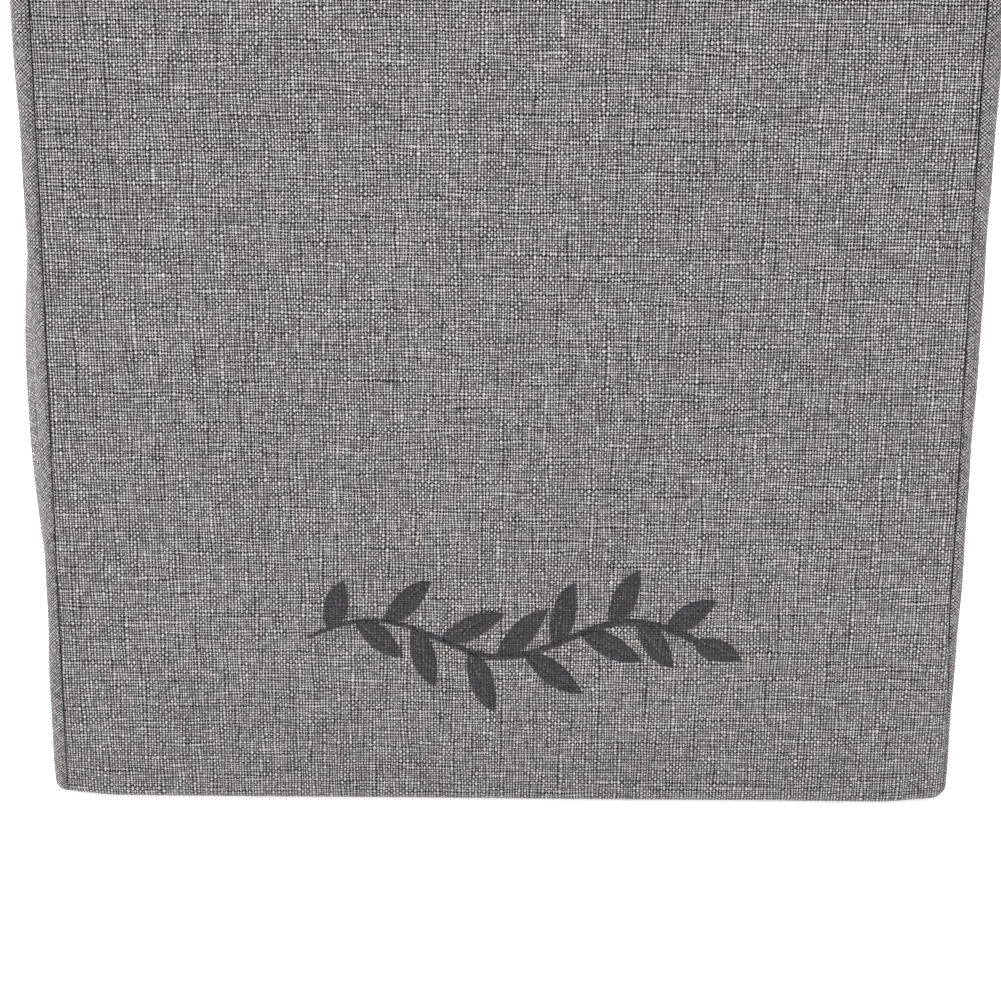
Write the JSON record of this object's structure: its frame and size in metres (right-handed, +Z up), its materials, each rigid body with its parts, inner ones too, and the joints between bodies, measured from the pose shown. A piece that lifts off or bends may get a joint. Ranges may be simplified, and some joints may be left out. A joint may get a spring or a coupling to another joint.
{
  "type": "laundry hamper with lid",
  "caption": "Upright rectangular fold-flat laundry hamper of linen-look cloth over board, with a skirted flip lid, rope side handles and a lift-up base board.",
  "frame": {"origin": "the middle of the underside of the soft bottom, on the floor", "axes": "X to the right seen from the front, Y to the back, Z up; the front panel faces -Y"},
  "size_m": [0.4452, 0.3068, 0.606],
  "materials": {
    "linen_cloth": "grey linen-look plain weave of slub yarn",
    "lining_cloth": "pale smooth non-woven lining",
    "stiffener_board": "plain grey-brown stiffening board",
    "binding_tape": "grey ribbed tape",
    "hook_and_loop": "grey hook-and-loop pile",
    "rope_cotton": "natural twisted cotton",
    "grommet_steel": "nickel-plated pressed steel",
    "transfer_film": "matt charcoal heat-transfer film"
  },
  "bodies": {
    "back": {"back_cover": "linen_cloth", "back_board": "stiffener_board", "back_lining": "lining_cloth", "back_rim_binding": "binding_tape", "back_left_welt": "linen_cloth", "back_right_welt": "linen_cloth", "bottom_pan": "linen_cloth", "lid_hinge_tape": "binding_tape"},
    "base": {"base_board": "stiffener_board", "base_cover": "lining_cloth", "base_pull_ribbon": "binding_tape"},
    "left_rear": {"left_rear_cover": "linen_cloth", "left_rear_board": "stiffener_board", "left_rear_lining": "lining_cloth", "left_rear_rim_binding": "binding_tape", "left_rear_grommet": "grommet_steel"},
    "left_fore": {"left_fore_cover": "linen_cloth", "left_fore_board": "stiffener_board", "left_fore_lining": "lining_cloth", "left_fore_rim_binding": "binding_tape", "left_fore_grommet": "grommet_steel"},
    "front": {"front_cover": "linen_cloth", "front_board": "stiffener_board", "front_lining": "lining_cloth", "front_rim_binding": "binding_tape", "front_left_welt": "linen_cloth", "front_right_welt": "linen_cloth", "front_transfer": "transfer_film", "left_loop_patch": "hook_and_loop", "right_loop_patch": "hook_and_loop"},
    "right_rear": {"right_rear_cover": "linen_cloth", "right_rear_board": "stiffener_board", "right_rear_lining": "lining_cloth", "right_rear_rim_binding": "binding_tape", "right_rear_grommet": "grommet_steel"},
    "right_fore": {"right_fore_cover": "linen_cloth", "right_fore_board": "stiffener_board", "right_fore_lining": "lining_cloth", "right_fore_rim_binding": "binding_tape", "right_fore_grommet": "grommet_steel"},
    "lid": {"lid_cover_top": "linen_cloth", "lid_board": "stiffener_board", "lid_lining": "lining_cloth", "lid_skirt_front": "linen_cloth", "lid_skirt_left": "linen_cloth", "lid_skirt_right": "linen_cloth", "lid_pull_tab": "binding_tape", "left_hook_patch": "hook_and_loop", "right_hook_patch": "hook_and_loop"},
    "left_handle": {"left_handle_rope": "rope_cotton"},
    "right_handle": {"right_handle_rope": "rope_cotton"}
  },
  "joints": [
    {"name": "fold", "type": "hinge", "parent": "back", "child": "left_rear", "pos_m": [-0.1944, 0.1334, 0.3], "axis": [0, 0, 1], "range_deg": [0, 90]},
    {"name": "left_crease", "type": "hinge", "parent": "left_rear", "child": "left_fore", "pos_m": [-0.203, 0, 0.3], "axis": [0, 0, 1], "range_deg": [-180, 0]},
    {"name": "front_corner", "type": "hinge", "parent": "left_fore", "child": "front", "pos_m": [-0.1944, -0.1334, 0.3], "axis": [0, 0, 1], "range_deg": [0, 90]},
    {"name": "right_corner", "type": "hinge", "parent": "back", "child": "right_rear", "pos_m": [0.1944, 0.1334, 0.3], "axis": [0, 0, 1], "range_deg": [-90, 0]},
    {"name": "right_crease", "type": "hinge", "parent": "right_rear", "child": "right_fore", "pos_m": [0.203, 0, 0.3], "axis": [0, 0, 1], "range_deg": [0, 180]},
    {"name": "base_lift", "type": "hinge", "parent": "back", "child": "base", "pos_m": [0, 0.1369, 0.0015], "axis": [-1, 0, 0], "range_deg": [0, 90]},
    {"name": "lid_hinge", "type": "hinge", "parent": "back", "child": "lid", "pos_m": [0, 0.1565, 0.601], "axis": [-1, 0, 0], "range_deg": [0, 265]},
    {"name": "left_handle_swing", "type": "hinge", "parent": "left_rear", "child": "left_handle", "pos_m": [-0.203, 0, 0.5], "axis": [0, 1, 0], "range_deg": [0, 150], "deforming": ["left_handle_rope"]},
    {"name": "right_handle_swing", "type": "hinge", "parent": "right_rear", "child": "right_handle", "pos_m": [0.203, 0, 0.5], "axis": [0, -1, 0], "range_deg": [0, 150], "deforming": ["right_handle_rope"]}
  ],
  "couplings": [
    {"joint": "left_crease", "follows": "fold", "ratio": -2},
    {"joint": "front_corner", "follows": "fold", "ratio": 1},
    {"joint": "right_corner", "follows": "fold", "ratio": -1},
    {"joint": "right_crease", "follows": "fold", "ratio": 2}
  ]
}
